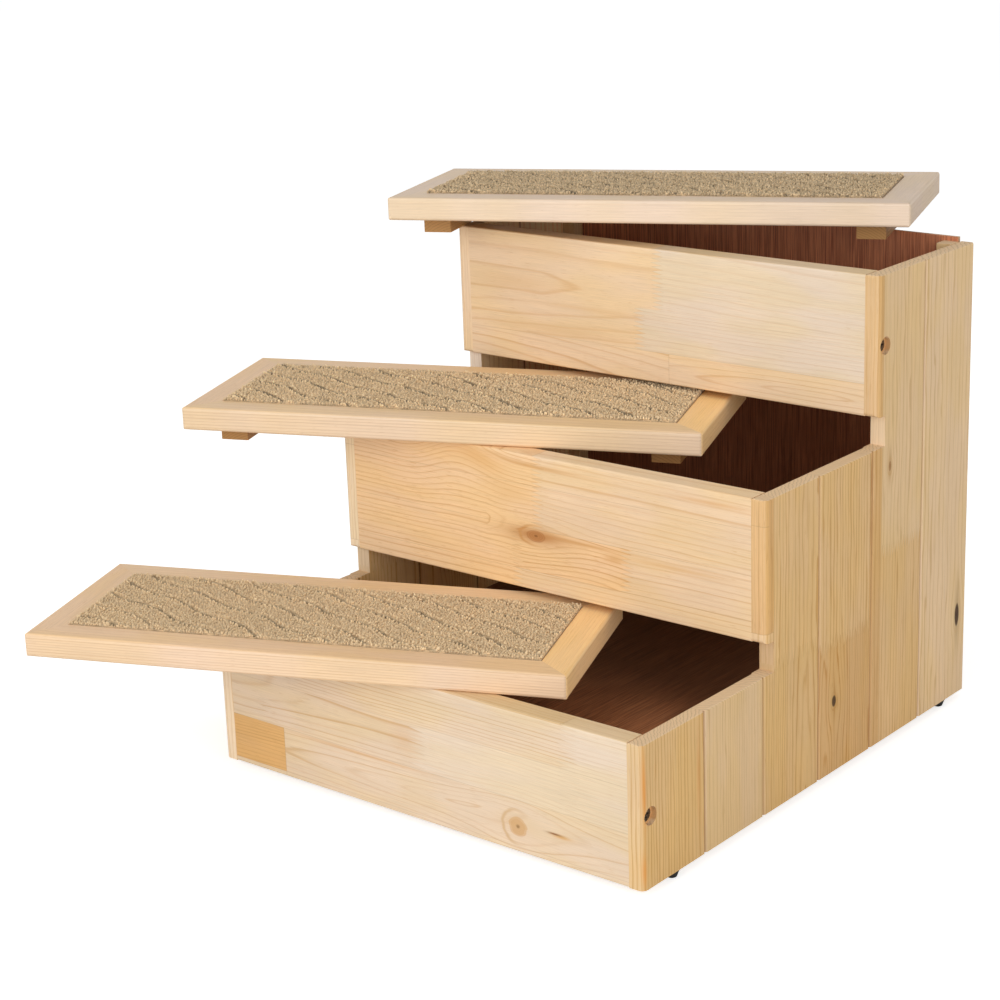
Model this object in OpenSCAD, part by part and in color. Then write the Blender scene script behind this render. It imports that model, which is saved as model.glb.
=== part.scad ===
// Pet stairs: three boxed steps, each closed by a loose carpeted lid.
// The lids lie askew: two flat on their rims, the top one perched on its cleats.
// The front faces -Y, X is the width, Z is up, and lengths are in millimetres.
// The origin lies on the floor, at the middle of the area that the stairs cover.

/* [Carcass] */
// Width over the side boards
body_w = 390; // [360:1:430]
// Thickness of the side boards
side_t = 12; // [10:0.5:15]
// Width of one side board, six of which give the depth
board_w = 72; // [68:0.5:78]
// How far each upper riser's face is set back from a joint of the side boards, per step
face_setback = 3; // [1:0.25:6]
// Height of one riser
riser_h = 104; // [90:0.5:120]
// Thickness of the risers
riser_t = 18; // [15:0.5:21]
// Depth of the slot behind the face of an upper riser
slot_d = 10; // [8:0.5:13]
// Radius of the upright outer corners at the front
corner_r = 4.5; // [2:0.25:6]
// Radius of the lip above each slot
lip_r = 3; // [1:0.25:4]
// Radius of the eased edges of the risers and rims
ease_r = 1.5; // [0.5:0.1:2.5]
// Chamfer along the outer edges of each side board
groove = 1.8; // [0.8:0.1:2.6]

/* [Back and floor] */
// Thickness of the back panel
back_t = 3; // [2:0.5:5]
// How far the back panel stands above the top rims
back_proud = 3.5; // [2:0.1:5]
// Side of the square battens in the corners and under the floor
batten = 12; // [9:0.5:15]
// Thickness of the floor panel
floor_t = 5; // [3:0.5:8]
// Height of the floor's underside above the lower edges of the sides
floor_h = 44.3; // [30:0.1:55]

/* [Feet] */
// Height of a foot
foot_h = 6; // [4:0.5:10]
// Width of a foot where it meets the side
foot_top_d = 12; // [10:0.5:15]
// Width of a foot where it meets the ground
foot_tip_d = 9; // [7:0.5:10]
// Distance from the front edge to the middle of a front foot
foot_front = 40; // [25:1:60]
// Distance from the back edge to the middle of a back foot
foot_back = 30; // [20:1:60]

/* [Lids] */
// Thickness of a lid's frame
lid_t = 18; // [15:0.5:21]
// How far a closed lid reaches past each side
lid_over = 9; // [5:0.5:12]
// How far a closed lid reaches past the riser under it
nose = 5; // [3:0.5:9]
// Width of the frame's rails
rail_w = 24.5; // [20:0.5:28]
// Thickness of the panel under the carpet
base_t = 9; // [6:0.5:12]
// How far the carpet stands above the rails
carpet_proud = 2.5; // [1:0.1:3]
// Radius of the lid's eased edges
lid_edge_r = 2.5; // [1:0.1:4]
// Width of a cleat
cleat_w = 22; // [18:0.5:26]
// Thickness of a cleat under the second and the third lid
cleat_t = 13; // [10:0.5:16]
// Thickness of a cleat under the first lid
first_cleat_t = 8; // [7:0.5:13]

/* [Lids as they lie] */
// Distance of the first lid's middle to the left of the stairs' middle
lid_1_left = 111; // [106:0.5:116]
// How far the first lid's middle is in front of its closed place
lid_1_forward = 44.3; // [40:0.1:49]
// Turn of the first lid, in degrees
lid_1_angle = 22.4; // [20:0.1:24]
// Distance of the second lid's middle to the left of the stairs' middle
lid_2_left = 119; // [114:0.5:124]
// How far the second lid's middle is in front of its closed place
lid_2_forward = 14.2; // [10:0.1:19]
// Turn of the second lid, in degrees
lid_2_angle = 21.9; // [20:0.1:24]
// Distance of the third lid's middle to the left of the stairs' middle
lid_3_left = 45.4; // [40:0.1:50]
// How far the third lid's middle is behind its closed place
lid_3_behind = 4; // [1:0.1:7]
// Turn of the third lid, in degrees
lid_3_angle = 21.4; // [20:0.1:24]
// Fall of the third lid towards the back, as a slope
lid_3_fall_share = 0.018; // [0.01:0.001:0.025]

/* [Screws and dowels] */
// Width of the counterbores in the sides
bore_d = 13; // [10:0.5:14]
// Depth of the counterbores in the sides
bore_h = 4; // [3:0.5:6]
// Width of a side screw's head
side_head_d = 10; // [8:0.5:11]
// Width of a side screw's shank
side_shank_d = 4; // [3:0.5:5]
// Length of a side screw
side_screw_l = 40; // [30:1:50]
// Width of a cleat screw's head
cleat_head_d = 7; // [6:0.5:8]
// Width of a cleat screw's shank
cleat_shank_d = 3.5; // [3:0.5:4]
// How far a cleat screw reaches past its cleat, into the base panel
cleat_screw_bite = 6; // [4:0.5:7]
// Distance of a cleat screw from the end of its cleat
cleat_screw_in = 20; // [12:1:28]
// Width of a dowel
dowel_d = 6; // [5:0.5:8]
// Length of a dowel
dowel_l = 30; // [20:1:40]
// Depth of a dowel in the side board
dowel_in_side = 8; // [6:0.5:9]

/* [Clearances] */
// Room above a closed lid in its slot
slot_play = 5; // [4:0.1:7]
// Room behind a closed lid in its slot
tuck_play = 2; // [1:0.1:3]
// Room between a cleat and the side when the lid is closed
cleat_play = 0.5; // [0.3:0.1:1.5]
// Room at the ends of a cleat when the lid is closed
cleat_end_play = 1; // [0.5:0.1:3]
// Gap under a lid that lies flat
seat_gap = 0.1; // [0.05:0.05:0.2]
// Gap under the cleats that the top lid is perched on
perch_gap = 0.2; // [0.1:0.05:0.3]
// Gap around a carpet
carpet_play = 0.3; // [0.2:0.1:0.6]
// Gap around screws and dowels
fixing_play = 0.1; // [0.05:0.05:0.2]

/* [Hidden] */

$fn = 48;
// Number of the top step, where the lowest is 0
top = 2;
boards_per_step = 2;
boards = boards_per_step * (top + 1);
// How far a cut runs past the face that it opens
over = side_t / 8;

// Carcass
body_d = boards * board_w;
// From the face of one riser to the face of the next
going = boards_per_step * board_w + face_setback;
inner_w = body_w - 2 * side_t;
outer_x = body_w / 2;
inner_x = inner_w / 2;
back_y = body_d - back_t;
slot_h = lid_t + slot_play;
dowel_height_shares = [1 / 4, 3 / 4];

// Height of the lower edge of riser n, where 0 is the lowest
function riser_base(n) = n * (riser_h + slot_h);
// Height of the rims of step n
function rim(n) = riser_base(n) + riser_h;
// Where step n ends at the back
function step_end(n) = n == top ? body_d : (n + 1) * going;

// Lids
lid_l = body_w + 2 * lid_over;
lid_d = nose + going + slot_d - tuck_play;
well_l = lid_l - 2 * rail_w;
well_d = lid_d - 2 * rail_w;
carpet_t = lid_t + carpet_proud - base_t;
cleat_out = lid_l / 2 - lid_over - side_t - cleat_play;
cleat_in = cleat_out - cleat_w;
// How far a cleat reaches to the front and to the back of its lid's middle:
// closed, it lies between the riser and the corner battens of the top step
cleat_front = lid_d / 2 - nose - riser_t - cleat_end_play;
cleat_back = min(cleat_front, back_y - batten - closed_y(top) - cleat_end_play);
cleat_l = cleat_front + cleat_back;
cleat_mid = (cleat_back - cleat_front) / 2;

function lid_x(n) = -[lid_1_left, lid_2_left, lid_3_left][n];
function closed_y(n) = n * going + lid_d / 2 - nose;
function lid_y(n) = closed_y(n) + [-lid_1_forward, -lid_2_forward, lid_3_behind][n];
function lid_angle(n) = [lid_1_angle, lid_2_angle, lid_3_angle][n];
// How far a turned lid reaches from its middle, along X and along Y
function reach_x(n) = (lid_l * cos(lid_angle(n)) + lid_d * sin(lid_angle(n))) / 2;
function reach_y(n) = (lid_l * sin(lid_angle(n)) + lid_d * cos(lid_angle(n))) / 2;

// The top lid's perch: the back panel's top edge under the right cleat,
// and the outer edge of the left rim under the left cleat
perch_s = sin(lid_3_angle);
perch_c = cos(lid_3_angle);
back_perch_y = body_d - back_t / 2;
back_perch_v = (back_perch_y - lid_y(top) - cleat_in * perch_s) / perch_c;
back_perch_x = lid_x(top) + cleat_in * perch_c - back_perch_v * perch_s;
rim_perch_x = -outer_x;
rim_perch_v = (lid_x(top) - cleat_in * perch_c - rim_perch_x) / perch_s;
rim_perch_y = lid_y(top) - cleat_in * perch_s + rim_perch_v * perch_c;
perch_rise = back_proud + lid_3_fall_share * (back_perch_y - rim_perch_y);
perch_slope_x = perch_rise / (back_perch_x - rim_perch_x);
// Upward normal of the plane under the cleats, then the same in the lid's own axes
perch_up = [-perch_slope_x, lid_3_fall_share, 1];
perch_n = perch_up / norm(perch_up);
perch_nx = perch_n.x * perch_c + perch_n.y * perch_s;
perch_ny = perch_n.y * perch_c - perch_n.x * perch_s;
perch_tilt_x = -asin(perch_ny);
perch_tilt_y = atan2(perch_nx, perch_n.z);
perch_run = perch_n.x * (rim_perch_x - lid_x(top)) + perch_n.y * (rim_perch_y - lid_y(top));
perch_z = rim(top) + perch_gap + (perch_run + cleat_t) / perch_n.z;

function lid_z(n) = n == top ? perch_z : rim(n) + seat_gap;
function lid_angles(n) = n == top ? [perch_tilt_x, perch_tilt_y, lid_3_angle] : [0, 0, lid_angle(n)];

// Middle of the area that the stairs and their lids cover
covered_left = min(lid_x(0) - reach_x(0), lid_x(1) - reach_x(1), -outer_x);
covered_right = max(outer_x, lid_x(top) + reach_x(top));
covered_front = min(lid_y(0) - reach_y(0), 0);
covered_back = max(lid_y(top) + reach_y(top), body_d);
middle = [(covered_left + covered_right) / 2, (covered_front + covered_back) / 2, -foot_h];

pine = [0.87, 0.70, 0.48];
pale_pine = [0.90, 0.76, 0.56];
tan_wood = [0.72, 0.55, 0.36];
red_ply = [0.36, 0.16, 0.10];
floor_ply = [0.55, 0.34, 0.22];
carpet_tan = [0.74, 0.65, 0.50];
black_rubber = [0.06, 0.06, 0.06];
dark_steel = [0.22, 0.22, 0.22];

// Shared shapes

// Moves what is drawn from the carcass's lower front edge to the shared origin
module standing() {
    translate(-middle) children();
}

// The same thing on the right and on the left
module on_both_sides() {
    children();
    mirror([1, 0, 0]) children();
}

// Rectangle with rounded corners, its lower left corner at the origin
module rounded_rect(w, h, r) {
    translate([r, 0]) square([w - 2 * r, h]);
    translate([0, r]) square([w, h - 2 * r]);
    for (x = [r, w - r], y = [r, h - r]) translate([x, y]) circle(r);
}

// What rounding takes off a corner at the origin that fills x < 0 and y < 0
module corner_waste(r) {
    difference() {
        translate([-r, -r]) square(r + over);
        translate([-r, -r]) circle(r);
    }
}

// Block centred on X and Y whose corners and long edges are rounded
module eased_block(l, d, h, r) {
    intersection() {
        translate([-l / 2, -d / 2, 0]) linear_extrude(h) rounded_rect(l, d, r);
        translate([-l / 2, -d / 2, 0]) rotate([90, 0, 90]) linear_extrude(l) rounded_rect(d, h, r);
        translate([-l / 2, d / 2, 0]) rotate([90, 0, 0]) linear_extrude(d) rounded_rect(l, h, r);
    }
}

// Countersunk screw along +Z with the face of its head at z = 0
module screw_body(head_d, shank_d, length, play) {
    cylinder(h = (head_d - shank_d) / 2, d1 = head_d + 2 * play, d2 = shank_d + 2 * play);
    cylinder(h = length + play, d = shank_d + 2 * play);
}

// The same screw with the cross in its head
module screw(head_d, shank_d, length) {
    slot_l = head_d * 0.6;
    slot_w = shank_d / 4;
    difference() {
        screw_body(head_d, shank_d, length, 0);
        for (a = [0, 90]) rotate(a)
            translate([-slot_l / 2, -slot_w / 2, -over]) cube([slot_l, slot_w, over + shank_d / 2]);
    }
}

// Fixings of the carcass

// Puts children on the line of the right-hand screw of riser n, pointing inwards
module at_side_screw(n) {
    translate([outer_x - bore_h, n * going + riser_t / 2, riser_base(n) + riser_h / 2])
        rotate([0, -90, 0]) children();
}

// Screw holes of riser n, with their counterbores
module side_screw_hole(n) {
    at_side_screw(n) {
        screw_body(side_head_d, side_shank_d, side_screw_l, fixing_play);
        translate([0, 0, -bore_h - over]) cylinder(h = bore_h + over, d = bore_d);
    }
}

// Dowels that carry the middle riser, which has no screws
module dowel_pair(play) {
    for (share = dowel_height_shares)
        translate([inner_x + dowel_in_side + play, going + riser_t / 2, rim(1) - riser_h * share])
            rotate([0, -90, 0]) cylinder(h = dowel_l + 2 * play, d = dowel_d + 2 * play);
}

// Sides

// Outline of a side, seen from the right: three steps with a slot under each upper riser
module side_outline() {
    difference() {
        for (n = [0 : top]) translate([n * going, 0]) square([body_d - n * going, rim(n)]);
        for (n = [1 : top]) {
            translate([n * going - over, rim(n - 1)]) square([slot_d + over, slot_h]);
            translate([n * going, riser_base(n)]) rotate(180) corner_waste(lip_r);
        }
        for (n = [0 : top]) translate([n * going, rim(n)]) mirror([1, 0]) corner_waste(ease_r);
    }
}

// Cross-section of a board of the right side, with its outer edges chamfered
module board_section() {
    polygon([
        [0, 0], [side_t - groove, 0], [side_t, groove],
        [side_t, board_w - groove], [side_t - groove, board_w], [0, board_w]
    ]);
}

// Board k of the right side, counted from the front
module side_board(k) {
    difference() {
        intersection() {
            translate([inner_x, 0, 0]) rotate([90, 0, 90]) linear_extrude(side_t) side_outline();
            translate([inner_x, (k - 1) * board_w, 0]) linear_extrude(rim(top)) board_section();
        }
        for (n = [0 : top]) {
            translate([outer_x, n * going, n == 0 ? -over : rim(n - 1)])
                linear_extrude(riser_h + slot_h + over) mirror([0, 1]) corner_waste(corner_r);
            translate([outer_x, step_end(n), rim(n)]) rotate([90, 0, 0])
                linear_extrude(step_end(n) - n * going) corner_waste(ease_r);
            translate([inner_x, step_end(n), rim(n)]) rotate([90, 0, 0])
                linear_extrude(step_end(n) - n * going) mirror([1, 0]) corner_waste(ease_r);
        }
        side_screw_hole(0);
        side_screw_hole(top);
        dowel_pair(fixing_play);
    }
}

module right_side_board(k) {
    color(pine) standing() side_board(k);
}

module left_side_board(k) {
    color(pine) standing() mirror([1, 0, 0]) side_board(k);
}

// Risers, back and floor

module riser(n) {
    color(pale_pine) standing() difference() {
        translate([-inner_x, n * going, riser_base(n)]) rotate([90, 0, 90])
            linear_extrude(inner_w) rounded_rect(riser_t, riser_h, ease_r);
        on_both_sides() {
            if (n == 1) dowel_pair(fixing_play);
            else side_screw_hole(n);
        }
    }
}

module back_panel() {
    color(red_ply) standing() translate([-inner_x, back_y, 0])
        cube([inner_w, back_t, rim(top) + back_proud]);
}

// Space of the right-hand corner batten
module corner_batten_space() {
    translate([inner_x - batten, back_y - batten, 0]) cube([batten, batten, rim(top)]);
}

module right_corner_batten() {
    color(pine) standing() corner_batten_space();
}

module left_corner_batten() {
    color(pine) standing() mirror([1, 0, 0]) corner_batten_space();
}

module floor_panel() {
    color(floor_ply) standing() difference() {
        translate([-inner_x, riser_t, floor_h]) cube([inner_w, back_y - riser_t, floor_t]);
        on_both_sides() corner_batten_space();
    }
}

// Batten under the right-hand edge of the floor
module floor_batten_space() {
    translate([inner_x - batten, riser_t, floor_h - batten])
        cube([batten, back_y - batten - riser_t, batten]);
}

module right_floor_batten() {
    color(pine) standing() floor_batten_space();
}

module left_floor_batten() {
    color(pine) standing() mirror([1, 0, 0]) floor_batten_space();
}

// Batten across the carcass whose front face is at y
module cross_batten(y) {
    translate([batten - inner_x, y, floor_h - batten]) cube([inner_w - 2 * batten, batten, batten]);
}

module front_floor_batten() {
    color(pine) standing() cross_batten(riser_t);
}

module back_floor_batten() {
    color(pine) standing() cross_batten(back_y - batten);
}

module side_screws() {
    color(dark_steel) standing() on_both_sides()
        for (n = [0, top]) at_side_screw(n) screw(side_head_d, side_shank_d, side_screw_l);
}

module riser_dowels() {
    color(pale_pine) standing() on_both_sides() dowel_pair(0);
}

// Foot under a side board, on the right for side = 1 and on the left for side = -1
module foot(side, y) {
    color(black_rubber) standing() translate([side * (outer_x - side_t / 2), y, -foot_h])
        cylinder(h = foot_h, d1 = foot_tip_d, d2 = foot_top_d);
}

// Lids

// Puts children where lid n lies, from the middle of the lid's underside
module laid(n) {
    standing() translate([lid_x(n), lid_y(n), lid_z(n)]) rotate(lid_angles(n)) children();
}

// Rail along the front (end = -1) or the rear (end = 1), mitred at both ends
module long_rail(n, end) {
    color(pale_pine) laid(n) intersection() {
        eased_block(lid_l, lid_d, lid_t, lid_edge_r);
        linear_extrude(lid_t) polygon([
            [-lid_l / 2, end * lid_d / 2], [lid_l / 2, end * lid_d / 2],
            [well_l / 2, end * well_d / 2], [-well_l / 2, end * well_d / 2]
        ]);
    }
}

// Rail at the left (end = -1) or the right (end = 1), mitred at both ends
module short_rail(n, end) {
    color(pale_pine) laid(n) intersection() {
        eased_block(lid_l, lid_d, lid_t, lid_edge_r);
        linear_extrude(lid_t) polygon([
            [end * lid_l / 2, -lid_d / 2], [end * lid_l / 2, lid_d / 2],
            [end * well_l / 2, well_d / 2], [end * well_l / 2, -well_d / 2]
        ]);
    }
}

function cleat_deep(n) = n == 0 ? first_cleat_t : cleat_t;
function cleat_screw_l(n) = cleat_deep(n) + cleat_screw_bite;

// Puts children at the cleat screws of one end, pointing up into the lid
module at_cleat_screws(n, end) {
    for (y = [-1, 1]) translate([
        end * (cleat_in + cleat_w / 2), cleat_mid + y * (cleat_l / 2 - cleat_screw_in), -cleat_deep(n)
    ]) children();
}

module base_panel(n) {
    color(floor_ply) laid(n) difference() {
        translate([-well_l / 2, -well_d / 2, 0]) cube([well_l, well_d, base_t]);
        for (end = [-1, 1]) at_cleat_screws(n, end)
            screw_body(cleat_head_d, cleat_shank_d, cleat_screw_l(n), fixing_play);
    }
}

module carpet(n) {
    color(carpet_tan) laid(n) translate([0, 0, base_t])
        eased_block(well_l - 2 * carpet_play, well_d - 2 * carpet_play, carpet_t, lid_edge_r);
}

module cleat(n, end) {
    color(tan_wood) laid(n) difference() {
        translate([end * (cleat_in + cleat_w / 2) - cleat_w / 2, -cleat_front, -cleat_deep(n)])
            cube([cleat_w, cleat_l, cleat_deep(n)]);
        at_cleat_screws(n, end)
            screw_body(cleat_head_d, cleat_shank_d, cleat_screw_l(n), fixing_play);
    }
}

module cleat_screws(n) {
    color(dark_steel) laid(n) for (end = [-1, 1])
        at_cleat_screws(n, end) screw(cleat_head_d, cleat_shank_d, cleat_screw_l(n));
}

right_side_board(1);  // right_side_board_1
right_side_board(2);  // right_side_board_2
right_side_board(3);  // right_side_board_3
right_side_board(4);  // right_side_board_4
right_side_board(5);  // right_side_board_5
right_side_board(6);  // right_side_board_6
left_side_board(1);  // left_side_board_1
left_side_board(2);  // left_side_board_2
left_side_board(3);  // left_side_board_3
left_side_board(4);  // left_side_board_4
left_side_board(5);  // left_side_board_5
left_side_board(6);  // left_side_board_6
riser(0);  // riser_1
riser(1);  // riser_2
riser(2);  // riser_3
back_panel();
floor_panel();
right_corner_batten();
left_corner_batten();
right_floor_batten();
left_floor_batten();
front_floor_batten();
back_floor_batten();
side_screws();
riser_dowels();
foot(1, foot_front);  // front_right_foot
foot(-1, foot_front);  // front_left_foot
foot(1, body_d - foot_back);  // back_right_foot
foot(-1, body_d - foot_back);  // back_left_foot
long_rail(0, -1);  // lid_1_front_rail
long_rail(0, 1);  // lid_1_rear_rail
short_rail(0, 1);  // lid_1_right_rail
short_rail(0, -1);  // lid_1_left_rail
base_panel(0);  // lid_1_base_panel
carpet(0);  // lid_1_carpet
cleat(0, 1);  // lid_1_right_cleat
cleat(0, -1);  // lid_1_left_cleat
cleat_screws(0);  // lid_1_cleat_screws
long_rail(1, -1);  // lid_2_front_rail
long_rail(1, 1);  // lid_2_rear_rail
short_rail(1, 1);  // lid_2_right_rail
short_rail(1, -1);  // lid_2_left_rail
base_panel(1);  // lid_2_base_panel
carpet(1);  // lid_2_carpet
cleat(1, 1);  // lid_2_right_cleat
cleat(1, -1);  // lid_2_left_cleat
cleat_screws(1);  // lid_2_cleat_screws
long_rail(2, -1);  // lid_3_front_rail
long_rail(2, 1);  // lid_3_rear_rail
short_rail(2, 1);  // lid_3_right_rail
short_rail(2, -1);  // lid_3_left_rail
base_panel(2);  // lid_3_base_panel
carpet(2);  // lid_3_carpet
cleat(2, 1);  // lid_3_right_cleat
cleat(2, -1);  // lid_3_left_cleat
cleat_screws(2);  // lid_3_cleat_screws
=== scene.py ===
"""Dressed scene of the pet stairs: three boxed pine steps with loose carpeted lids.

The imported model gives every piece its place. Sizes in the classes are millimetres, in the
carcass's own axes (from its lower front edge, at half its width) or in a lid's own axes (from the
middle of the lid). What goes into Blender is metres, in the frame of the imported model.
"""

import logging
import math
import random
from dataclasses import dataclass, field, replace
from enum import Enum
from functools import partialmethod

import bmesh
import bpy
from mathutils import Euler, Matrix, Vector, noise


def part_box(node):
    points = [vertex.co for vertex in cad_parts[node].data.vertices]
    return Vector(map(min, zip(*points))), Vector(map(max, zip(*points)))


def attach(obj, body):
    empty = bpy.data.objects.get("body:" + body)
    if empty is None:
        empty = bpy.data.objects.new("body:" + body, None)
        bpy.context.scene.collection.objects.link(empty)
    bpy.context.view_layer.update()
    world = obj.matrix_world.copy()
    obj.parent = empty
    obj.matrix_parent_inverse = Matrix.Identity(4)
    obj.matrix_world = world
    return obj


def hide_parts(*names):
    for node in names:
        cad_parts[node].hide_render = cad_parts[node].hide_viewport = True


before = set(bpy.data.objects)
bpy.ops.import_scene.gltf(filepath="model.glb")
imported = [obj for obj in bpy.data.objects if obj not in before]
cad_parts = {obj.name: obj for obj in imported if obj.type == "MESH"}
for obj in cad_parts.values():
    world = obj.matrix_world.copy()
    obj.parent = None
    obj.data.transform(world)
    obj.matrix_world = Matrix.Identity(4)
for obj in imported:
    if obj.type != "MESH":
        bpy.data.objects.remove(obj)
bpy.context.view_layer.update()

MM = 0.001
# Points nearer than this are merged, in metres
WELD = MM / 100
# How squarely a face has to look along an axis, from the first trace to the full effect
SQUARE = (0.55, 0.85)
# How dark one growth ring is from its start to its end, as (place, grey)
RING = ((0.0, 0.3), (0.06, 0.03), (0.5, 0.0), (0.74, 0.18), (0.9, 1.0), (0.96, 0.8), (1.0, 0.3))
# Outline of a foot, from its hollow tip up, as shares of its radius and its height
FOOT = (
    (0.0, 0.22), (0.3, 0.22), (0.36, 0.0), (0.66, 0.0), (0.8, 0.08), (0.92, 0.8), (1.0, 0.94), (0.98, 1.0),
    (0.0, 1.0),
)
WHITE = (1.0, 1.0, 1.0)
Triple = tuple[float, float, float]
Colour = Triple
Value = "float | int | Socket"
log = logging.getLogger("pet_stairs")


# Shader maths


class Socket:
    """One output of a shader node, with arithmetic written as Python operators."""

    def __init__(self, graph: "Graph", out: bpy.types.NodeSocket) -> None:
        """Keeps the output and the graph that it belongs to."""
        self.graph = graph
        self.out = out

    def math(self, operation: str, *others: Value, swap: bool = False) -> "Socket":
        """Adds a Math node on this value.

        Args:
            operation: the Math node's operation.
            others: the node's other inputs.
            swap: puts this value second.

        Returns:
            The node's output.
        """
        values = [self, *others]
        if swap:
            values.reverse()
        inputs = dict(enumerate(values))
        return self.graph.node("Math", inputs, operation=operation)

    __add__ = __radd__ = partialmethod(math, "ADD")
    __sub__ = partialmethod(math, "SUBTRACT")
    __rsub__ = partialmethod(math, "SUBTRACT", swap=True)
    __mul__ = __rmul__ = partialmethod(math, "MULTIPLY")
    __truediv__ = partialmethod(math, "DIVIDE")
    __pow__ = partialmethod(math, "POWER")
    __gt__ = partialmethod(math, "GREATER_THAN")
    __lt__ = partialmethod(math, "LESS_THAN")
    __abs__ = partialmethod(math, "ABSOLUTE")

    def clamp(self) -> "Socket":
        """Kept from 0 to 1."""
        return self.math("MINIMUM", 1.0).math("MAXIMUM", 0.0)

    def fall(self) -> "Socket":
        """Bell curve: 1 at 0, and near 0 past 2 on either side."""
        return (self * self * -1.0).math("EXPONENT")

    def rise(self, low: float, high: float) -> "Socket":
        """Smooth step.

        Args:
            low: where it is 0.
            high: where it is 1.

        Returns:
            The step, from 0 to 1.
        """
        inputs = {"Value": self, "From Min": low, "From Max": high}
        return self.graph.node("MapRange", inputs, interpolation_type="SMOOTHSTEP")


class Graph:
    """Node tree of a new material or a new world."""

    def __init__(self, name: str, world: bool = False) -> None:
        """Makes the material or the world, with its output."""
        self.owner = (bpy.data.worlds if world else bpy.data.materials).new(name)
        self.owner.use_nodes = True
        self.tree = self.owner.node_tree
        self.tree.nodes.clear()
        self.output = self.tree.nodes.new(f"ShaderNodeOutput{'World' if world else 'Material'}")

    def feed(self, node: bpy.types.Node, inputs: dict) -> None:
        """Sets or links a node's inputs.

        Args:
            node: the node.
            inputs: values or Sockets, by the input's name or number.
        """
        for key, value in inputs.items():
            target = node.inputs[key]
            if isinstance(value, Socket):
                self.tree.links.new(value.out, target)
            elif target.type == "RGBA" and len(value) == 3:
                target.default_value = (*value, 1.0)
            else:
                target.default_value = value

    def node(self, kind: str, inputs: dict | None = None, out: int | str = 0, **settings) -> Socket:
        """Adds one node.

        Args:
            kind: the node's type, without ShaderNode.
            inputs: values or Sockets, by the input's name or number.
            out: which output to give back.
            settings: the node's own settings, where stops are a ramp's (place, grey) pairs.

        Returns:
            The chosen output.
        """
        made = self.tree.nodes.new(f"ShaderNode{kind}")
        stops = settings.pop("stops", None)
        for key, value in settings.items():
            setattr(made, key, value)
        if stops:
            elements = made.color_ramp.elements
            while len(elements) < len(stops):
                elements.new(1.0)
            for element, (place, grey) in zip(elements, stops):
                element.position = place
                element.color = (grey, grey, grey, 1.0)
        self.feed(made, inputs or {})
        return Socket(self, made.outputs[out])

    def ramp(self, value: Socket, stops: tuple) -> Socket:
        """Grey ramp over a value, from (place, grey) stops."""
        return self.node("ValToRGB", {"Fac": value}, stops=stops)

    def mix(self, share: Value, a: "Colour | Socket", b: "Colour | Socket") -> Socket:
        """Colour a where share is 0, and colour b where it is 1."""
        inputs = {0: share, 6: a, 7: b}
        return self.node("Mix", inputs, out=2, data_type="RGBA")

    def shade(self, colour: "Colour | Socket", value: Socket) -> Socket:
        """Colour times a value."""
        return self.node("VectorMath", {0: colour, 3: value}, operation="SCALE")

    def tint(self, colour: Socket, by: Colour) -> Socket:
        """Colour times a colour."""
        return self.node("VectorMath", {0: colour, 1: by}, operation="MULTIPLY")

    def choose(self, mask: Socket, a: Socket, b: Triple) -> Socket:
        """Vector a where mask is 0, and vector b where it is 1."""
        return self.node("Mix", {0: mask, 4: a, 5: b}, out=1, data_type="VECTOR")

    def join(self, x: Value, y: Value, z: Value) -> Socket:
        """Vector of three values."""
        return self.node("CombineXYZ", {0: x, 1: y, 2: z})

    def split(self, vector: Socket) -> tuple[Socket, Socket, Socket]:
        """A vector's three values."""
        made = self.tree.nodes.new("ShaderNodeSeparateXYZ")
        self.feed(made, {0: vector})
        return tuple(Socket(self, out) for out in made.outputs)

    def noise(self, vector: Socket, scale: float = 1.0, detail: float = 2.0, rough: float = 0.5) -> Socket:
        """Smooth noise, about 0.5 on average."""
        inputs = {"Vector": vector, "Scale": scale, "Detail": detail, "Roughness": rough}
        return self.node("TexNoise", inputs)

    def local(self, axes: "Axes") -> Socket:
        """Place on the surface.

        Args:
            axes: the axes that it is measured in.

        Returns:
            The place as a vector, in millimetres.
        """
        place = self.node("TexCoord", out="Object")
        inputs = {"Vector": place, "Location": axes.origin, "Rotation": axes.turn, "Scale": (MM,) * 3}
        return self.node("Mapping", inputs, vector_type="TEXTURE")

    def facing(self, axes: "Axes") -> tuple[Socket, Socket, Socket]:
        """How squarely the surface looks along each axis.

        Args:
            axes: the axes.

        Returns:
            A value from 0 to 1 for each of the three.
        """
        normal = self.node("TexCoord", out="Normal")
        inputs = {"Vector": normal, "Rotation": axes.turn}
        turned = self.node("Mapping", inputs, vector_type="TEXTURE")
        return tuple(abs(part) for part in self.split(turned))

    def finish(self, height: Socket, distance: float, strength: float, **inputs) -> bpy.types.Material:
        """Adds the Principled shader.

        Args:
            height: what the bump follows.
            distance: height of the bump, in metres.
            strength: strength of the bump.
            inputs: Principled sockets, with _ for a space.

        Returns:
            The material.
        """
        bump = {"Height": height, "Distance": distance, "Strength": strength}
        inputs["Normal"] = self.node("Bump", bump)
        sockets = {key.replace("_", " "): value for key, value in inputs.items()}
        self.feed(self.output, {0: self.node("BsdfPrincipled", sockets)})
        return self.owner


# Finishes


class Grain(Enum):
    """Which of a piece's own axes the grain follows, and which ones run across and into it."""

    UPRIGHT = (2, 1, 0)
    SIDEWAYS = (0, 2, 1)
    LENGTHWISE = (0, 1, 2)
    FRONT_TO_BACK = (1, 0, 2)


@dataclass(frozen=True)
class Axes:
    """Origin and turn of a set of own axes."""

    origin: Vector
    turn: Euler = field(default_factory=lambda: Euler((0, 0, 0)))


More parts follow.
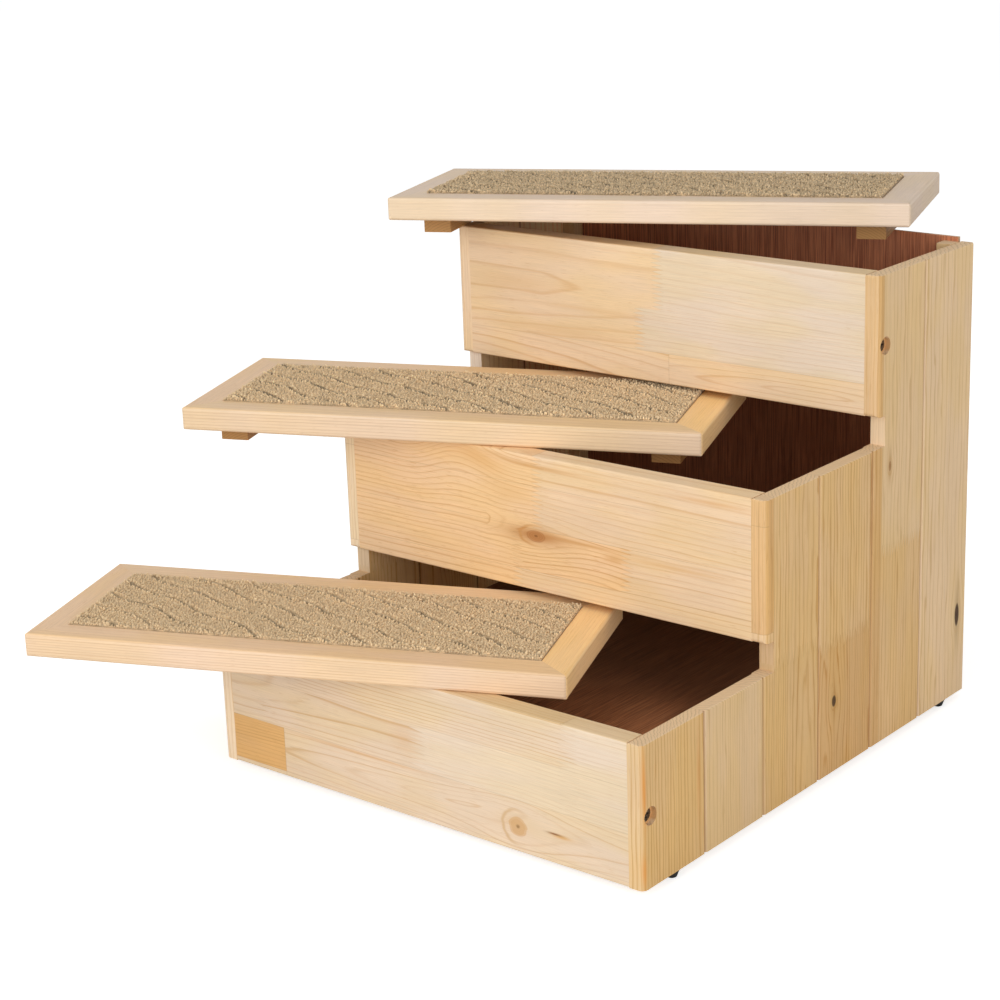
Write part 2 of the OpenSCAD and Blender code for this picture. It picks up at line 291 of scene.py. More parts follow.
@dataclass(frozen=True)
class Tone:
    """Colours of one tree's wood: between the rings and in them."""

    pale: Colour
    dark: Colour

    def lit(self, gain: float) -> "Tone":
        """The same wood, paler by a gain."""
        return Tone(tuple(c * gain for c in self.pale), tuple(c * gain for c in self.dark))


@dataclass(frozen=True)
class Growth:
    """How one tree's rings lie in a board.

    The heart is at across and deep, and leans away from the face along the grain. Past the limit
    it stays as deep as it is, and the rings run straight. It never comes nearer to the face than
    least.
    """

    across: float
    deep: float
    ring: float
    contrast: float = 0.8
    lean: float = 0.0
    limit: float = 400.0
    least: float = -1000.0

    def mirrored(self) -> "Growth":
        """The same tree in a board on the other side."""
        return replace(self, deep=-self.deep, lean=-self.lean)


@dataclass(frozen=True)
class Block:
    """One length of solid wood in a glued board, from where it starts along the grain."""

    start: float
    low: float
    high: float
    growth: Growth
    tone: Tone
    fingers: bool = True


def blend(a: Colour, b: Colour, share: float) -> Colour:
    """A share of colour a, and the rest of colour b."""
    return tuple(share * x + (1 - share) * y for x, y in zip(a, b))


def oval(run: Socket, wide: Socket, length: float, width: float) -> Socket:
    """Soft oval: 1 where both values are 0, and near 0 past twice its length or width."""
    return (run / length).fall() * (wide / width).fall()


@dataclass(frozen=True)
class Knot:
    """A branch that the face cuts across."""

    along: float
    across: float
    size: float
    dark: Colour
    length: float
    reach: float
    flame: float
    loose: bool = False


@dataclass(frozen=True)
class Streak:
    """A resin streak or crack along the grain."""

    along: float
    across: float
    length: float
    width: float
    colour: Colour
    strength: float


@dataclass(frozen=True)
class Swell:
    """A place where the grain rises over something that the face doesn't show."""

    along: float
    across: float
    length: float
    width: float
    lift: float


@dataclass(frozen=True)
class Pine:
    """Lacquered pine, glued up from blocks, with growth rings round hearts off the board.

    A groove is a place across the grain and the height that it ends at, and its V is darkened as painted
    shade.
    A bore is the place of its middle, along and across, and the counterbore round it is darkened as painted
    shade.
    The edge is the face along edge_axis, as far back as light_tinted_to, and its tint is painted light that
    makes that face lighter or darker as light falls on it.
    """

    name: str
    axes: Axes
    grain: Grain
    tone: Tone
    growth: Growth
    seed: float = 0.0
    wander: float = 3.0
    uneven: float = 0.3
    blocks: tuple[Block, ...] = ()
    seams: tuple[float, ...] = ()
    knots: tuple[Knot, ...] = ()
    streaks: tuple[Streak, ...] = ()
    swells: tuple[Swell, ...] = ()
    shaded_grooves: tuple[tuple[float, float], ...] = ()
    shaded_bores: tuple[tuple[float, float], ...] = ()
    edge_axis: int = 2
    edge_light_tint: Colour = (1.0, 1.0, 1.0)
    edge_calm: float = 0.0
    light_tinted_to: float = 1000.0
    bore_shade_reach: float = 6.7
    finger_pitch: float = 3.4
    finger_length: float = 5.0
    end_tone: Colour = (0.86, 0.62, 0.38)
    rough: float = 0.46

    def material(self) -> bpy.types.Material:
        """Builds the material.

        Returns:
            The material.
        """
        g = Graph(self.name)
        own = g.split(g.local(self.axes))
        along, across, deep = (own[k] for k in self.grain.value)
        hearts, rings, least, pale, dark, joints = self.glue(g, along, across)
        facing = g.facing(self.axes)
        edge = facing[self.edge_axis].rise(*SQUARE)
        slow = g.noise(g.join(along * 0.0045, across * 0.02, deep * 0.02 + self.seed))
        quick = g.noise(g.join(along * 0.02, across * 0.22, deep * 0.22 + self.seed * 3.1), detail=1.0)
        patch = g.noise(g.join(along * 0.008, across * 0.03, deep * 0.03 + self.seed * 1.7), detail=3.0)
        fibre = g.noise(g.join(along * 0.03, across * 2.4, deep * 2.4), rough=0.6)
        pores = g.noise(g.join(along * 0.11, across * 2.9, deep * 2.9 + 7.3), detail=0.0).rise(0.7, 0.8)

        flowing = across
        for swell in self.swells:
            bell = oval(along - swell.along, across - swell.across, swell.length, swell.width)
            flowing = flowing - bell * swell.lift
        hx, hy, lean = g.split(hearts)
        spacing, limit, contrast = g.split(rings)
        u = self.bend(along, flowing) - hx + (slow - 0.5) * (2 * self.wander)
        v = (((deep - hy - lean * along) / limit).math("TANH") * limit).math("MAXIMUM", least)
        radius = (u * u + v * v) ** 0.5 + (quick - 0.5) * spacing * self.uneven
        phase = radius / spacing + (radius * 0.13 + self.seed).math("SINE") * 0.6
        ring = g.ramp(phase.math("FRACT"), RING)
        bold = g.noise(g.join(phase.math("FLOOR") * 0.73, self.seed, 0.0), detail=0.0).rise(0.32, 0.66)

        strength = ring * (0.34 + patch.rise(0.3, 0.72) * 0.35 + bold * 0.75) * contrast
        strength = strength * (1.0 - edge * self.edge_calm)
        colour = g.mix(strength.clamp(), pale, dark)
        warm = g.noise(g.join(along * 0.012, across * 0.04, self.seed + 5.0), detail=1.0).rise(0.36, 0.64)
        colour = g.mix(warm, g.tint(colour, (1.0, 1.0, 1.05)), g.tint(colour, (1.0, 0.985, 0.92)))
        colour = g.shade(colour, 0.72 + patch * 0.22 + fibre * 0.38)
        colour = g.mix(pores * 0.55, colour, dark)
        for streak in self.streaks:
            drift = flowing - streak.across + (slow - 0.5) * 3.0
            shape = oval(along - streak.along, drift, streak.length, streak.width)
            colour = g.mix(shape * streak.strength, colour, streak.colour)
        for knot in self.knots:
            colour = self.branch(g, knot, along, across, quick, colour)
        if joints is not None:
            colour = g.mix(joints * 0.32, colour, tuple(c * 0.6 for c in self.tone.dark))

        # painted shade: the V-grooves between boards are darkened as if in shadow
        for place, top in self.shaded_grooves:
            inside = (1.0 - abs(across - place).rise(0.2, 1.6)) * (along < top)
            colour = g.mix(inside * 0.72, colour, (0.27, 0.11, 0.03))
        # painted light: faces along the edge axis are tinted lighter or darker as light falls on them
        colour = g.mix(edge * (across < self.light_tinted_to), colour, g.tint(colour, self.edge_light_tint))
        # painted shade: the counterbores round the screws are darkened
        for height, place in self.shaded_bores:
            away = ((along - height) ** 2.0 + (across - place) ** 2.0) ** 0.5
            colour = g.mix((away < self.bore_shade_reach) * 0.9, colour, (0.64, 0.36, 0.15))
        end = facing[self.grain.value[0]].rise(*SQUARE)
        grit = g.noise(g.join(along, across * 1.3, deep * 1.3))
        cut = g.mix(ring * 0.5 + grit * 0.2, self.end_tone, tuple(c * 0.5 for c in self.end_tone))
        colour = g.mix(end * 0.9, colour, cut)
        height = fibre * 0.5 - ring * 0.35 + grit * end * 0.6
        if joints is not None:
            height = height - joints * 0.8
        rough = self.rough + (fibre - 0.5) * 0.1 + end * 0.22 + ring * 0.04
        return g.finish(
            height, 0.00012, 0.6, Base_Color=colour, Roughness=rough, Specular_IOR_Level=0.22,
            Coat_Weight=0.03, Coat_Roughness=0.4,
        )

    def glue(self, g: Graph, along: Socket, across: Socket) -> tuple:
        """Picks the wood at each place of a board that is glued up from blocks.

        Args:
            g: the material's graph.
            along: place along the grain.
            across: place across the grain.

        Returns:
            Heart, rings, least depth, pale and dark colours, and the joints' lines, if any.
        """
        first = self.growth
        hearts = g.join(first.across, first.deep, first.lean)
        rings = g.join(first.ring, first.limit, first.contrast)
        least = first.least
        pale, dark = (g.mix(0.0, tone, tone) for tone in (self.tone.pale, self.tone.dark))
        jag = g.noise(g.join(across * 0.33, along * 0.02, self.seed), detail=1.0)
        lines = []
        for block in self.blocks:
            edge = along - block.start
            if block.fingers:
                teeth = (across / self.finger_pitch).math("PINGPONG", 0.5) * 2.0
                edge = edge + (teeth + jag * 0.8 - 0.9) * (2 * self.finger_length)
            inside = (across > block.low) * (across < block.high)
            mask = (edge > 0.0) * inside
            grown = block.growth
            hearts = g.choose(mask, hearts, (grown.across, grown.deep, grown.lean))
            rings = g.choose(mask, rings, (grown.ring, grown.limit, grown.contrast))
            least = g.node("Mix", {0: mask, 2: least, 3: grown.least})
            pale = g.mix(mask, pale, block.tone.pale)
            dark = g.mix(mask, dark, block.tone.dark)
            width, strength = (1.4, 0.7) if block.fingers else (0.5, 1.0)
            lines.append((1.0 - abs(edge).rise(0.0, width)) * inside * strength)
        lines += [1.0 - abs(across - seam).rise(0.0, 0.35) for seam in self.seams]
        joints = None
        for line in lines:
            joints = line if joints is None else joints.math("MAXIMUM", line)
        return hearts, rings, least, pale, dark, joints

    def bend(self, along: Socket, across: Socket) -> Socket:
        """Place across the grain, spread so that the rings flow round the knots.

        Args:
            along: place along the grain.
            across: place across the grain.

        Returns:
            The place to draw the rings from.
        """
        bent = across
        for knot in self.knots:
            da = (along - knot.along) / (knot.size * knot.reach * 2.2)
            dc = bent - knot.across
            near = ((da * da + (dc / (knot.size * knot.reach)) ** 2.0) * -1.0).math("EXPONENT")
            bent = dc * (1.0 - near * 0.92) + knot.across
        return bent

    def branch(
        self, g: Graph, knot: Knot, along: Socket, across: Socket, quick: Socket, colour: Socket
    ) -> Socket:
        """Draws a knot over a colour.

        Args:
            g: the material's graph.
            knot: the knot.
            along: place along the grain.
            across: place across the grain.
            quick: noise that makes its outline uneven.
            colour: the colour round it.

        Returns:
            The colour with the knot.
        """
        da = (along - knot.along) / knot.length
        dc = across - knot.across
        far = (da * da + dc * dc) ** 0.5 / knot.size + (quick - 0.5) * 0.5
        flame = oval(da, dc, knot.size * 3.4, knot.size * 1.3)
        colour = g.mix(flame * knot.flame, colour, blend(knot.dark, self.tone.dark, 0.35))
        disc = 1.0 - far.rise(0.78, 1.05)
        grain = (far * (knot.size / 1.1)).math("FRACT").rise(0.1, 0.9)
        share, cover, width, line = (0.95, 0.97, 0.34, 0.9) if knot.loose else (0.5, 0.8, 0.16, 0.5)
        body = g.mix(grain * 0.5 + disc * 0.1, blend(knot.dark, self.tone.dark, share), knot.dark)
        colour = g.mix(disc * cover, colour, body)
        rim = 1.0 - abs(far - 1.0).rise(0.0, width)
        colour = g.mix(rim * line, colour, knot.dark)
        ring = (1.0 - abs(far - 1.85).rise(0.0, 0.34)) * (da * -0.07 + 0.45).clamp()
        colour = g.mix(ring * 0.9, colour, self.tone.dark)
        core = 1.0 - far.rise(0.0, 0.28)
        return g.mix(core * 0.8, colour, tuple(c * 0.45 for c in knot.dark))


@dataclass(frozen=True)
class Plywood:
    """Thin red-brown plywood: streaked face veneer, and plies on its raw edges.

    It can be made lighter and darker along one axis, as painted light and shade, given by the axis, the
    places where it starts and stops, and the gain before and after.
    """

    name: str
    axes: Axes
    grain: Grain
    face: Colour = (0.54, 0.215, 0.105)
    deep_streak: Colour = (0.26, 0.085, 0.042)
    edge: Colour = (0.62, 0.42, 0.25)
    ply: float = 1.0
    painted_light_fade: tuple[int, float, float, float, float] | None = None
    seed: float = 0.0

    def material(self) -> bpy.types.Material:
        """Builds the material.

        Returns:
            The material.
        """
        g = Graph(self.name)
        own = g.split(g.local(self.axes))
        along, across, deep = (own[k] for k in self.grain.value)
        broad = g.noise(g.join(along * 0.006, across * 0.05, self.seed), detail=3.0)
        streak = g.noise(g.join(along * 0.022, across * 0.9, self.seed + 3.0), detail=3.0, rough=0.62)
        vessel = g.noise(g.join(along * 0.09, across * 2.6, self.seed + 9.0), detail=1.0).rise(0.58, 0.72)
        colour = g.mix(streak.rise(0.32, 0.68), self.face, self.deep_streak)
        colour = g.shade(colour, 0.72 + broad * 0.56)
        colour = g.mix(vessel * 0.45, colour, self.deep_streak)
        # painted light and shade: the colour is scaled lighter or darker along one axis
        if self.painted_light_fade:
            axis, start, stop, first, last = self.painted_light_fade
            colour = g.shade(colour, own[axis].rise(start, stop) * (last - first) + first)
        edge = 1.0 - g.facing(self.axes)[self.grain.value[2]].rise(0.4, 0.7)
        layer = (deep / self.ply).math("FRACT").rise(0.35, 0.65)
        raw = g.mix(layer * 0.5, self.edge, tuple(c * 0.6 for c in self.edge))
        raw = g.shade(raw, 0.85 + g.noise(g.join(along * 0.5, across * 0.5, deep * 2.0)) * 0.3)
        colour = g.mix(edge, colour, raw)
        height = streak * -0.5 - vessel * 0.6
        return g.finish(
            height, 0.00012, 0.7, Base_Color=colour, Roughness=0.52 + vessel * 0.15, Specular_IOR_Level=0.35
        )


@dataclass(frozen=True)
class Pile:
    """Short tan pile, speckled from tuft to tuft, with painted shade that darkens it lower down and in its
    channels, and painted light on the tufts beside them.
    """

    name: str
    axes: Axes
    tip: Colour = (0.9, 0.685, 0.42)
    shaded_root: Colour = (0.42, 0.29, 0.16)
    contrast: float = 1.0

    def material(self) -> bpy.types.Material:
        """Builds the material.

        Returns:
            The material.
        """
        g = Graph(self.name)
        place = g.local(self.axes)
        shade = g.node("Attribute", out="Fac", attribute_name="pile_height")
        # random tint of each tuft, with painted shade in the channels and painted light beside them
        tint = g.node("Attribute", out="Fac", attribute_name="pile_tint_light_and_shade")
        speck = g.noise(place, 0.95, detail=2.0, rough=0.7).rise(0.36, 0.64)
        fuzz = g.noise(place, 2.4, detail=3.0, rough=0.7)
        drift = g.noise(place, 0.03, detail=2.0)
        # painted shade: the pile is drawn darker the lower it lies
        colour = g.mix(shade, self.shaded_root, self.tip)
        uneven = (speck * 0.24 + fuzz * 0.24 + tint * 0.13 - 0.24) * self.contrast
        colour = g.shade(colour, (0.92 + uneven + drift * 0.16).math("MAXIMUM", 0.42))
        return g.finish(
            fuzz + speck * 0.6, 0.0006, 0.8, Base_Color=colour, Roughness=0.93, Specular_IOR_Level=0.12,
            Sheen_Weight=0.25, Sheen_Roughness=0.5,
        )


@dataclass(frozen=True)
class Rubber:
    """Black rubber, lightly dusty."""

    name: str

    def material(self) -> bpy.types.Material:
        """Builds the material.

        Returns:
            The material.
        """
        g = Graph(self.name)
        place = g.local(Axes(Vector()))
        dust = g.noise(place, 0.5, detail=3.0)
        grit = g.noise(place, 4.0, detail=1.0)
        colour = g.mix(dust.rise(0.45, 0.75) * 0.5, (0.016, 0.016, 0.017), (0.055, 0.052, 0.048))
        return g.finish(
            grit, 0.00008, 0.5, Base_Color=colour, Roughness=0.5 + dust * 0.2, Specular_IOR_Level=0.4
        )


@dataclass(frozen=True)
class Steel:
    """Dark plated steel with fine turning marks."""

    name: str

    def material(self) -> bpy.types.Material:
        """Builds the material.

        Returns:
            The material.
        """
        g = Graph(self.name)
        place = g.local(Axes(Vector()))
        wear = g.noise(place, 0.8, detail=3.0)
        fine = g.noise(place, 5.0, detail=1.0)
        colour = g.mix(wear.rise(0.35, 0.7), (0.07, 0.055, 0.042), (0.24, 0.19, 0.14))
        return g.finish(fine, 0.00004, 0.5, Base_Color=colour, Metallic=0.9, Roughness=0.26 + wear * 0.22)


# Shared making


def dress(obj: bpy.types.Object, material: bpy.types.Material) -> None:
    """Puts a material in every slot of an object.

    Args:
        obj: the object.
        material: the material.
    """
    if not obj.data.materials:
        obj.data.materials.append(material)
    for k in range(len(obj.data.materials)):
        obj.data.materials[k] = material


def paint(finish: "Pine | Plywood | Steel") -> None:
    """Puts a finish on the node that it is named after."""
    dress(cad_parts[finish.name], finish.material())


def put(name: str, data: bpy.types.ID) -> bpy.types.Object:
    """Makes an object and puts it in the scene.

    Args:
        name: its name.
        data: its mesh, camera or lamp.

    Returns:
        The object.
    """
    made = bpy.data.objects.new(name, data)
    bpy.context.scene.collection.objects.link(made)
    return made


def add_piece(
    bm: bmesh.types.BMesh, name: str, body: str, material: bpy.types.Material, smooth: bool = False
) -> bpy.types.Object:
    """Makes a piece of the object from a bmesh and puts it on its body.

    Args:
        bm: the shape, in metres and in place; it is freed.
        name: the piece's name.
        body: the body that it rides on.
        material: its material.
        smooth: shades it smooth.

    Returns:
        The piece.
    """
    mesh = bpy.data.meshes.new(name)
    for face in bm.faces:
        face.smooth = smooth
    bm.to_mesh(mesh)
    bm.free()
    piece = put(name, mesh)
    dress(piece, material)
    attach(piece, body)
    return piece


def ease(
    finish: "Pine | Plywood", width: float, body: str, along: Vector | None = None
) -> None:
    """Replaces a node by a merged copy of it whose sharp edges are broken.

    Args:
        finish: the copy's finish, named after the node.
        width: width of the broken edge, in millimetres.
        body: the body that it rides on.
        along: direction of the edges that are broken, where they aren't all.
    """
    bm = bmesh.new()
    bm.from_mesh(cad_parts[finish.name].data)
    bmesh.ops.remove_doubles(bm, verts=bm.verts, dist=WELD)
    bmesh.ops.dissolve_limit(bm, angle_limit=math.radians(0.5), verts=bm.verts, edges=bm.edges)
    sharp = [e for e in bm.edges if e.is_manifold and e.calc_face_angle(0.0) > math.radians(35)]
    if along is not None:
        sharp = [e for e in sharp if abs((e.verts[1].co - e.verts[0].co).normalized().dot(along)) > 0.999]
    bmesh.ops.bevel(
        bm, geom=sharp, offset=width * MM, offset_type="OFFSET", affect="EDGES", segments=3, profile=0.5,
        material=-1, clamp_overlap=True,
    )
    piece = add_piece(bm, f"{finish.name}_eased", body, finish.material())
    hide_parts(finish.name)


# Sub-assemblies


@dataclass
class Carcass:
    """Sides, risers, back, floor and fixings: everything that stays put."""

    going: float = 147.0
    riser_pitch: float = 127.0

    def __post_init__(self) -> None:
        """Finds the carcass's own origin."""
        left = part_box("left_side_board_1")[0]
        right_low, right_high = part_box("right_side_board_1")
        self.axes = Axes(Vector(((left.x + right_high.x) / 2, right_low.y, right_low.z)))

    def build(self) -> None:
        """Dresses every piece of the carcass."""
        self.sides()
        self.risers()
        self.back_and_floor()
        self.fixings()
        self.feet()

    def sides(self) -> None:
        """Twelve upright boards, each from a tree of its own."""
        straw = Tone((0.72, 0.475, 0.21), (0.56, 0.31, 0.095))
        light = Tone((0.76, 0.505, 0.235), (0.6, 0.345, 0.12))
        amber = Tone((0.7, 0.435, 0.18), (0.54, 0.27, 0.07))
        rosy = Tone((0.73, 0.515, 0.275), (0.61, 0.4, 0.19))
        fair = Tone((0.82, 0.59, 0.34), (0.68, 0.45, 0.22))
        orange = Tone((0.7, 0.42, 0.165), (0.52, 0.26, 0.075))
        resin = (0.74, 0.31, 0.07)
        boards = {
            1: dict(tone=straw, growth=Growth(120, 330, 2.1, 1.5), wander=1.5,
                    blocks=(Block(-9, 38.2, 73, Growth(150, 360, 1.9, 1.2), straw, False),),
                    seams=(38.2,),
                    streaks=(Streak(72, 3.4, 26, 1.5, resin, 0.9), Streak(14, 2.6, 12, 1.4, resin, 0.8),
                             Streak(60, 64, 30, 2.2, (0.7, 0.36, 0.12), 0.6))),
            2: dict(tone=rosy, growth=Growth(-60, 340, 2.6), wander=2),
            3: dict(tone=straw, growth=Growth(199, 200.5, 3.4, 1.1, 0.055, 16), wander=2.5,
                    blocks=(Block(108, 143, 217, Growth(280, 420, 2.2, 1.1), light),
                            Block(212, 143, 151, Growth(70, 300, 2.8, 1.2), rosy, False),
                            Block(134, 143, 157, Growth(80, 420, 2, 1), orange, False)),
                    seams=(157.0,)),
            4: dict(tone=amber, growth=Growth(225, 199, 3.2, 1.2, 0.05, 18), wander=2.5,
                    blocks=(Block(100, 215, 289, Growth(130, 430, 2.1, 1.5), light),
                            Block(-9, 284.5, 289, Growth(300, 380, 1.8), orange, False)),
                    seams=(284.5,),
                    knots=(Knot(55.3, 236.8, 2.3, (0.07, 0.032, 0.008), 1.6, 5, 0.4, True),)),
            5: dict(tone=light, growth=Growth(180, 420, 2.4, 1), wander=2,
                    blocks=(Block(150, 287, 361, Growth(420, 400, 2.6, 0.9), rosy.lit(1.07)),
                            Block(-9, 287, 301, Growth(380, 370, 2, 1), amber, False)),
                    seams=(301,), knots=(Knot(214.1, 311.9, 1.9, (0.26, 0.11, 0.03), 1.9, 4, 0.8),)),
            6: dict(tone=fair, growth=Growth(480, 410, 3.2, 1.4), wander=3,
                    blocks=(Block(-9, 398, 440, Growth(520, 360, 2.8, 1), fair, False),),
                    seams=(398.0,),
                    knots=(Knot(66, 418.5, 2.7, (0.05, 0.018, 0.004), 2.8, 4, 0.7, True),)),
        }
        # painted shade in the V-grooves between the boards, with where each groove ends
        shaded_grooves = ((72, 130), (144, 104), (216, 257), (288, 231), (360, 400))
        # painted shade in the screw counterbores
        shaded_bores = ((52.0, 9.0), (306.0, 303.0))
        # painted light: the left side's boards are a lit copy of the right side's, paler by this gain
        left_light_gain = 1.28
        for side in ("right", "left"):
            for k, looks in boards.items():
                node = f"{side}_side_board_{k}"
                seed = k * 4.7
                # painted light: the boards' front faces are tinted paler, the left side's more so
                edge_light_tint = (1.06, 1.14, 1.42)
                if side == "left":
                    seed += 31.3
                    edge_light_tint = (1.01, 1.22, 1.94)
                    looks["growth"] = looks["growth"].mirrored()
                    looks["blocks"] = tuple(
                        replace(
                            b, growth=b.growth.mirrored(),
                            tone=(straw if b.tone is orange else b.tone).lit(left_light_gain),
                        )
                        for b in looks.get("blocks", ())
                    )
                    looks["tone"] = looks["tone"].lit(left_light_gain)
                finish = Pine(
                    node, self.axes, Grain.UPRIGHT, seed=seed, shaded_grooves=shaded_grooves, shaded_bores=shaded_bores, edge_axis=1,
                    edge_light_tint=edge_light_tint, edge_calm=0.45, light_tinted_to=425.0, uneven=1.1, **looks,
                )
                paint(finish)
                log.info("%s: upright pine", node)

    def step(self, n: int) -> Axes:
        """Own axes of riser n, from the middle of its lower front edge."""
        offset = Vector((0, n * self.going, n * self.riser_pitch)) * MM
        return Axes(self.axes.origin + offset)

    def risers(self) -> None:
        """Three risers, each glued up from staves with finger joints."""
        cream = Tone((0.78, 0.61, 0.425), (0.66, 0.44, 0.24))
        ivory = Tone((0.79, 0.64, 0.47), (0.7, 0.5, 0.31))
        fair = Tone((0.84, 0.62, 0.39), (0.7, 0.435, 0.215))
        honey = Tone((0.89, 0.615, 0.345), (0.62, 0.31, 0.105))
        amber = Tone((0.75, 0.45, 0.185), (0.56, 0.28, 0.085))
        resin = (0.68, 0.36, 0.13)
        first = Pine(
            "riser_1", self.step(0), Grain.SIDEWAYS, cream, Growth(180, 80, 2.2, 0.75), 1.3,
            blocks=(
                Block(-200, -1, 39, Growth(20, -2.6, 3, 0.6, 0.065, 16), cream, False),
                Block(-200, 4, 39, Growth(120, 40, 2.4, 0.6, 0.06), amber, False),
                Block(-131, -1, 39, Growth(21, -2.6, 2.7, 0.65, 0.065, 16), cream, False),
                Block(-200, 39, 110, Growth(76, -52, 6.5, 0.75, -0.29, 60, 0.3), cream, False),
                Block(-118, 72, 110, Growth(180, 80, 2.2), cream),
                Block(-150, 39, 60, Growth(64, 30, 3.4, 0.9, 0.16, 12), cream),
                Block(-110, 39, 72, Growth(64, 30, 3.4, 0.9, 0.16, 12), cream),
                Block(0, 39, 72, Growth(-40, 90, 2.8, 0.4), ivory),
                Block(134, 39, 110, Growth(-80, 110, 2.6, 0.45), ivory),
            ),
            seams=(4.0, 39.0, 72.0),
            # painted light: the riser's top face is tinted yellower and darker
            finger_length=8.0, edge_light_tint=(0.97, 0.9, 0.74),
            knots=(Knot(89.5, 18.7, 6.8, (0.62, 0.33, 0.11), 1.05, 3.2, 0.15),),
            streaks=(
                Streak(127, 21, 8, 1.5, (0.68, 0.38, 0.13), 0.9),
                Streak(121, 21.8, 6, 0.7, (0.25, 0.09, 0.02), 1),
                Streak(-60, 37, 60, 1.4, (0.7, 0.4, 0.17), 0.6),
                Streak(-12, 58, 12, 9, (0.72, 0.44, 0.22), 0.35),
            ),
        )
        second = Pine(
            "riser_2", self.step(1), Grain.SIDEWAYS, honey, Growth(47, -27.7, 3.3, 0.45, -0.45, 9.5, 4.2),
            6.1, 1.6,
            swells=(Swell(-78, 108, 34, 44, 12.0), Swell(-128, 100, 26, 40, -3.5)),
            blocks=(
                Block(-3, 48, 110, Growth(-60, 90, 4.6, 0.6, 0.03, 200), fair),
                Block(-23, 15, 48, Growth(-4, 10, 3.4, 0.75, -0.33, 60), honey),
                Block(77, 15, 48, Growth(-90, 100, 4.2, 0.6), fair),
                Block(-200, -1, 15, Growth(70, 40, 3.6, 0.7), honey, False),
                Block(-23, -1, 15, Growth(90, 60, 4, 0.6), fair),
            ),
            seams=(15.0, 48.0, 81.0),
            knots=(Knot(-5, 43, 4.2, (0.4, 0.15, 0.045), 1.9, 4, 1),),
            streaks=(
                Streak(-58, 88, 24, 8, (0.78, 0.44, 0.17), 0.7),
                Streak(-30, 72, 22, 7, (0.8, 0.5, 0.23), 0.5),
                Streak(150, 95, 34, 1.8, (0.72, 0.4, 0.16), 0.6),
                Streak(-10, 96, 46, 1.6, resin, 0.7), Streak(36, 44, 34, 1.5, resin, 0.75),
                Streak(66, 38, 9, 3.2, resin, 0.6),
                Streak(120, 41, 44, 1.8, (0.74, 0.44, 0.19), 0.6),
            ),
        )
        third = Pine(
            "riser_3", self.step(2), Grain.SIDEWAYS, fair, Growth(66, -34, 8, 0.5, -0.25, 14, 6), 12.9,
            blocks=(
                Block(2, 57, 110, Growth(150, 60, 5, 0.42, -0.08, 120), ivory),
                Block(-200, 24, 50, Growth(60, 50, 5, 0.45, 0.03, 120), fair, False),
                Block(-15, 24, 57, Growth(-50, 90, 2.2, 0.5), ivory),
                Block(-200, -1, 24, Growth(-6, 30, 4, 0.6, 0.12, 60), fair, False),
                Block(12, -1, 24, Growth(10, 8, 4, 0.6, -0.06, 60), fair, False),
            ),
            # painted light: the riser's top face is tinted yellower and darker
            seams=(24.0,), edge_light_tint=(0.97, 0.9, 0.76),
            streaks=(
                Streak(-135, 64, 40, 7, (0.78, 0.5, 0.25), 0.45),
                Streak(-70, 50, 60, 2, (0.74, 0.46, 0.22), 0.4),
                Streak(-90, 30, 70, 4, (0.76, 0.49, 0.25), 0.4),
            ),
        )
        for finish in (first, second, third):
            ease(finish, 2.0, "carcass", Vector((1, 0, 0)))
            log.info("%s: glued pine", finish.name)

    def back_and_floor(self) -> None:
        """Plywood back and floor, and the battens that carry them."""
        # Its streaks run up, and its thickness runs from front to back
        turned = Axes(self.axes.origin, Euler((0, 0, math.radians(90))))
        # painted shade and light: the back is darker low down and lighter towards its top
        back = Plywood("back_panel", turned, Grain.UPRIGHT, painted_light_fade=(2, 200.0, 420.0, 0.72, 1.5), seed=2.0)
        # painted light and shade: the floor is lighter at the front and darker towards the back
        floor = Plywood(
            "floor_panel", self.axes, Grain.FRONT_TO_BACK, (0.31, 0.135, 0.06), (0.155, 0.058, 0.025),
            painted_light_fade=(1, 130.0, 225.0, 2.0, 0.75), seed=8.0,
        )
        ease(back, 0.3, "carcass")
        paint(floor)
        battens = {
            "right_corner_batten": Grain.UPRIGHT, "left_corner_batten": Grain.UPRIGHT,
            "right_floor_batten": Grain.FRONT_TO_BACK, "left_floor_batten": Grain.FRONT_TO_BACK,
            "front_floor_batten": Grain.SIDEWAYS, "back_floor_batten": Grain.SIDEWAYS,
        }
        tone = Tone((0.74, 0.53, 0.29), (0.58, 0.36, 0.15))
        for k, (node, grain) in enumerate(battens.items()):
            growth = Growth(60.0 + 40 * k, 90, 2.4, 0.6, 0.002)
            ease(Pine(node, self.axes, grain, tone, growth, 50.0 + k), 0.5, "carcass")
        log.info("back, floor and %d battens: plywood and pine", len(battens))

    def fixings(self) -> None:
        """Screws in the sides and dowels in the middle riser."""
        paint(Steel("side_screws"))
        beech = Tone((0.74, 0.55, 0.34), (0.62, 0.42, 0.22))
        paint(Pine("riser_dowels", self.axes, Grain.SIDEWAYS, beech, Growth(300, 90, 1.6, 0.3), 70))
        log.info("screws and dowels: steel and beech")

